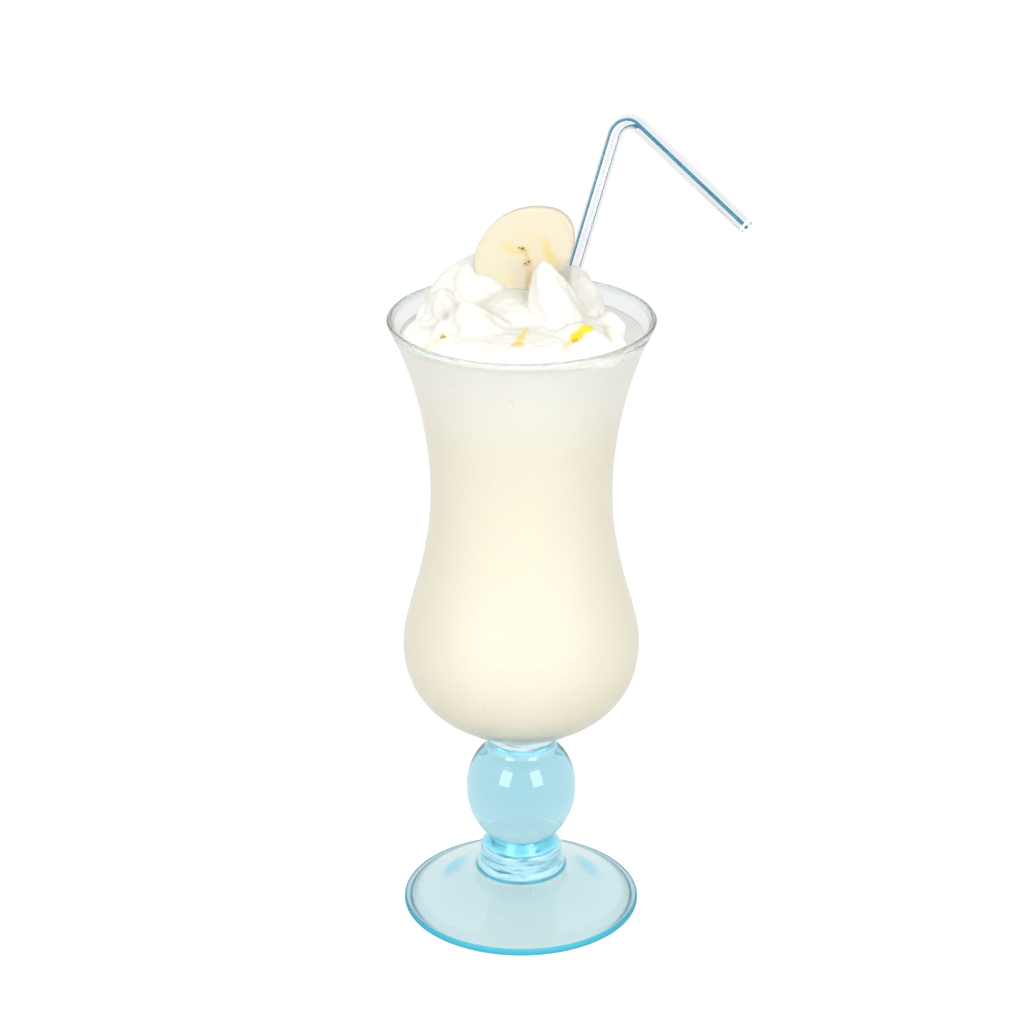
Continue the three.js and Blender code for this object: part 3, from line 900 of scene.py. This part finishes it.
def blue_glass_material():
    """Blue glass, paler in the foot, deep cyan along the foot's edge with painted light there, and hazy in
    the collar with painted refraction bands, and patches of it beside the collar.
    """
    made, nodes, links, shader, place = glass("blue_glass", *BLUE_DEPTH)
    foot = ramp_of(nodes, links, z_of(nodes, links, place), FOOT_TINT_Z + FOOT_TINT_FADE, FOOT_TINT_Z)
    level = maths_vector(nodes, links, "MULTIPLY", place, (1, 1, 0))
    away = maths_vector(nodes, links, "LENGTH", level, output="Value")

    def in_foot(inside):
        begins, full = inside
        share = ramp_of(nodes, links, away, FOOT_R - begins, FOOT_R - full)
        return maths(nodes, links, "MULTIPLY", share, foot)

    # the foot's edge: deep colour, with painted light as a share of solid colour
    edge = in_foot(EDGE_INSIDE)
    tint = mix_colour(nodes, links, foot, WHITE, FOOT_TINT)
    tint = mix_colour(nodes, links, edge, tint, EDGE_DEEP_AND_LIT_TINT)
    solid = maths(nodes, links, "MULTIPLY", edge, EDGE_PAINTED_LIGHT_SOLID)
    # haze, with painted refraction colours
    solid = add_haze_and_painted_refraction(nodes, links, shader, place, tint, solid, BLUE_HAZE_AND_PAINTED_REFRACTION)
    blur = maths(nodes, links, "MULTIPLY", in_foot(BLUR_INSIDE), FOOT_BLUR)
    links.new(maths(nodes, links, "MULTIPLY_ADD", solid, HAZE_BLUR, blur), shader.inputs["Roughness"])
    return made


def milk_material():
    """Creamy drink that turns to pale foam near its top, with painted shade on its upward-facing surface."""
    made, nodes, links, shader = material("milkshake")
    place = millimetres(nodes, links)
    wavy = wavy_place(nodes, links, place, *MILK_WAVE)
    begins, full = FOAM_BELOW
    foam = ramp_of(nodes, links, z_of(nodes, links, wavy), LEVEL_Z - begins, LEVEL_Z - full)
    fleck = ramp_of(nodes, links, noise_of(nodes, links, place, *FLECK_NOISE), *FLECK_SHARE)
    body = mix_colour(nodes, links, foam, MILK_COLOUR, FOAM_AND_PAINTED_LIGHT_COLOUR)
    body = mix_colour(nodes, links, fleck, body, FLECK_COLOUR)
    # painted shade on the surface that faces up
    facing = nodes.new("ShaderNodeNewGeometry").outputs["Normal"]
    surface = ramp_of(nodes, links, z_of(nodes, links, facing), *TOP_SHADE_FACING)
    links.new(mix_colour(nodes, links, surface, body, TOP_SHADE_COLOUR), shader.inputs["Base Color"])
    shader.inputs["Roughness"].default_value = MILK_ROUGH
    return made


def cream_material():
    """Whipped cream: white, with warm and cool painted shade in its folds, yellow and amber painted shade in
    its crevices, and painted light on its shaded underside.
    """
    made, nodes, links, shader = material("whipped_cream")
    place = millimetres(nodes, links)
    wavy = wavy_place(nodes, links, place, *CREAM_WAVE)
    # painted light: low down, where the cream sits in shade, it takes the brighter foam colour
    begins, full = CREAM_PAINTED_LIGHT
    low = ramp_of(nodes, links, z_of(nodes, links, place), LEVEL_Z + begins, LEVEL_Z + full)
    colour = mix_colour(nodes, links, low, CREAM_COLOUR, FOAM_AND_PAINTED_LIGHT_COLOUR)
    # painted shade in the cream's folds
    colour = paint(nodes, links, wavy, colour, CREAM_FOLD_SHADE, TINT_SOFT)
    # painted shade in the crevices between the folds, with ragged edges
    ragged = wavy_place(nodes, links, place, *CREVICE_SHADE_WAVE)
    colour = paint(nodes, links, ragged, colour, CREVICE_SHADE, CREVICE_SHADE_SOFT)
    links.new(colour, shader.inputs["Base Color"])
    shader.inputs["Roughness"].default_value = CREAM_ROUGH
    begins, full = CREAM_FREE
    free = ramp_of(nodes, links, z_of(nodes, links, place), LEVEL_Z + begins, LEVEL_Z + full)
    links.new(maths(nodes, links, "MULTIPLY", free, CREAM_GLOW), shader.inputs["Subsurface Weight"])
    spread_light(shader, CREAM_SPREAD)
    add_grain(nodes, links, shader, place, *CREAM_GRAIN)
    return made


def through_slice(patches):
    """Patches of the cut face as bodies that reach through the slice."""
    found = []
    for (x, y), (wide, high), turn, tint, strength in patches:
        found.append(((x, y, 0), (wide, high, PATCH_DEEP), (0, 0, turn), tint, strength))
    return found


def banana_material():
    """The cut face in its own frame: x right, y up, the core with its seeds near the middle."""
    made, nodes, links, shader = material("banana_slice")
    place = millimetres(nodes, links, SLICE_CENTRE, (90 - SLICE_LEAN, 0, SLICE_TURN))
    wavy = wavy_place(nodes, links, place, *FLESH_WAVE)
    oval = (SLICE_LONG / 2, SLICE_SHORT / 2, PATCH_DEEP)
    inside = spot(nodes, links, place, (0, 0, 0), oval, (0, 0, SLICE_ROLL), RIND_SOFT)
    colour = mix_colour(nodes, links, inside, RIND_COLOUR, FLESH_COLOUR)
    # the flesh's own patches, with painted light over its lower part
    colour = paint(nodes, links, wavy, colour, through_slice(FLESH_PATCHES), TINT_SOFT)
    seeds = [(*seed, SEED_COLOUR, SEED_STRENGTH) for seed in SEEDS]
    colour = paint(nodes, links, place, colour, through_slice(seeds), SEED_SOFT)
    links.new(colour, shader.inputs["Base Color"])
    shader.inputs["Roughness"].default_value = FLESH_ROUGH
    shader.inputs["Subsurface Weight"].default_value = FLESH_GLOW
    spread_light(shader, FLESH_SPREAD)
    add_grain(nodes, links, shader, place, *FLESH_FIBRE)
    return made


def straw_materials():
    """Clear plastic, the blue of the stripes and the paler cut ends, in the order of the kinds of face."""
    clear, nodes, links, shader = material("straw_clear")
    shader.inputs["Base Color"].default_value = (*STRAW_TINT, 1)
    shader.inputs["Transmission Weight"].default_value = 1
    shader.inputs["IOR"].default_value = STRAW_IOR
    haze = noise_of(nodes, links, millimetres(nodes, links), *STRAW_NOISE)
    links.new(ramp_of(nodes, links, haze, *STRAW_HAZE), shader.inputs["Roughness"])
    blue, nodes, links, shader = material("straw_stripe")
    shade = noise_of(nodes, links, millimetres(nodes, links), *STRIPE_NOISE)
    share = ramp_of(nodes, links, shade, *STRIPE_SHARE)
    links.new(mix_colour(nodes, links, share, *STRIPE_COLOURS), shader.inputs["Base Color"])
    shader.inputs["Roughness"].default_value = STRIPE_ROUGH
    shader.inputs["Transmission Weight"].default_value = STRIPE_CLEAR
    ends, nodes, links, shader = material("straw_cut")
    worn = noise_of(nodes, links, millimetres(nodes, links), *CUT_NOISE)
    links.new(mix_colour(nodes, links, worn, *CUT_COLOURS), shader.inputs["Base Color"])
    return clear, blue, ends


# Pieces


def finish_piece(piece, slot, *nodes):
    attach(piece, "root")
    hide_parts(*nodes)


def mark_seam(piece):
    """Gives the flat face at the seam its own material."""
    for polygon in piece.data.polygons:
        if abs(polygon.center.z / MM - JOIN_Z) < 2 * FUSED and abs(polygon.normal.z) > 0.6:
            polygon.material_index = 1


def make_glass(name, outline, *materials):
    """A turned glass piece: its surface has the first material, its seam the second."""
    piece = new_piece(name, *turned(outline, ROUND_SIDES))
    smooth(piece)
    for one in materials:
        piece.data.materials.append(one)
    mark_seam(piece)
    return piece


def make_bowl():
    surface = clear_glass_material()
    seam = seam_material("clear_seam", *CLEAR_DEPTH)
    piece = make_glass("fine_glass_bowl", bowl_outline(), surface, seam)
    finish_piece(piece, "clear_glass", "glass_bowl")


def make_stem():
    surface = blue_glass_material()
    seam = seam_material("blue_seam", *BLUE_DEPTH)
    piece = make_glass("fine_glass_stem", stem_outline(), surface, seam)
    finish_piece(piece, "blue_glass", "glass_stem")


def make_cream():
    piece = heap()
    piece.name = "fine_whipped_cream"
    cut_with(piece, *turned(cream_room_outline(), ROUND_SIDES), how="INTERSECT")
    cut_with(piece, *slice_body(grow=PIECE_GAP))
    cut_with(piece, *straw_rod(STRAW_R + PIECE_GAP))
    smooth(piece, sharp=60)
    piece.data.materials.clear()
    piece.data.materials.append(cream_material())
    finish_piece(piece, "cream", "whipped_cream")
    return piece


def make_milk(cream):
    piece = new_piece("fine_milkshake", *turned(milk_outline(), ROUND_SIDES))
    cut(piece, cream)
    cut_with(piece, *straw_rod(STRAW_R + PIECE_GAP))
    smooth(piece)
    piece.data.materials.clear()
    piece.data.materials.append(milk_material())
    finish_piece(piece, "milkshake", "milkshake")


def make_slice():
    piece = new_piece("fine_banana_slice", *slice_body())
    smooth(piece, sharp=50)
    piece.data.materials.append(banana_material())
    finish_piece(piece, "banana", "banana_slice")


def make_straw():
    verts, faces, kinds = straw_tube(STRAW_R, STRAW_BORE_R)
    piece = new_piece("fine_straw", verts, faces)
    smooth(piece)
    for one in straw_materials():
        piece.data.materials.append(one)
    for polygon, kind in zip(piece.data.polygons, kinds):
        polygon.material_index = kind
    finish_piece(piece, "straw", "straw")


# Stage


def make_floor():
    mesh = bpy.data.meshes.new("floor")
    half = FLOOR_HALF
    corners = [(-half, -half, 0), (half, -half, 0), (half, half, 0), (-half, half, 0)]
    mesh.from_pydata(corners, [], [(0, 1, 2, 3)])
    floor = add_object("floor", mesh)
    floor.location.z = -FLOOR_DROP
    made, nodes, links, shader = material("floor")
    shader.inputs["Base Color"].default_value = (FLOOR_GREY, FLOOR_GREY, FLOOR_GREY, 1)
    shader.inputs["Roughness"].default_value = FLOOR_ROUGH
    shader.inputs["Specular IOR Level"].default_value = FLOOR_SHINE
    shader.inputs["Emission Color"].default_value = (*WHITE, 1)
    seen = nodes.new("ShaderNodeLightPath").outputs["Is Camera Ray"]
    glow = maths(nodes, links, "MULTIPLY_ADD", seen, FLOOR_GLOW_SEEN, FLOOR_GLOW)
    links.new(glow, shader.inputs["Emission Strength"])
    mesh.materials.append(made)


def make_softbox(side):
    """A softbox in front of the glass, at its left (-1) or right (1)."""
    x, y, z = SOFTBOX_PLACE
    place = Vector((x * side, y, z))
    light = bpy.data.lights.new(f"softbox_{side}", "AREA")
    light.shape = "RECTANGLE"
    light.size, light.size_y = SOFTBOX_SIZE
    light.energy = SOFTBOX_WATTS
    lamp = add_object(light.name, light)
    lamp.location = place
    lamp.rotation_euler = (Vector(SOFTBOX_AIM) - place).to_track_quat("-Z", "Y").to_euler()


def make_world():
    world = bpy.data.worlds.new("studio")
    bpy.context.scene.world = world
    world.use_nodes = True
    nodes = world.node_tree.nodes
    links = world.node_tree.links
    back = nodes["Background"]
    back.inputs["Color"].default_value = (*WHITE, 1)
    direction = nodes.new("ShaderNodeTexCoord").outputs["Generated"]
    towards = maths_vector(nodes, links, "DOT_PRODUCT", direction, FRONT_WAY, output="Value")
    front = ramp_of(nodes, links, towards, 0, 1)
    links.new(maths(nodes, links, "MULTIPLY_ADD", front, FRONT_LIGHT, ROOM_LIGHT), back.inputs["Strength"])


def make_camera():
    data = bpy.data.cameras.new("camera")
    data.sensor_width = SENSOR
    data.lens = SENSOR * FOCAL_PX / IMAGE_SIDE
    camera = add_object("camera", data)
    camera.location = CAMERA_PLACE * MM
    camera.rotation_euler = (math.radians(90 - CAMERA_PITCH), 0, 0)
    bpy.context.scene.camera = camera


bpy.context.scene.view_settings.view_transform = "Standard"
make_camera()
make_world()
make_floor()
for side in (-1, 1):
    make_softbox(side)
make_bowl()
make_stem()
cream_piece = make_cream()
make_milk(cream_piece)
make_slice()
make_straw()
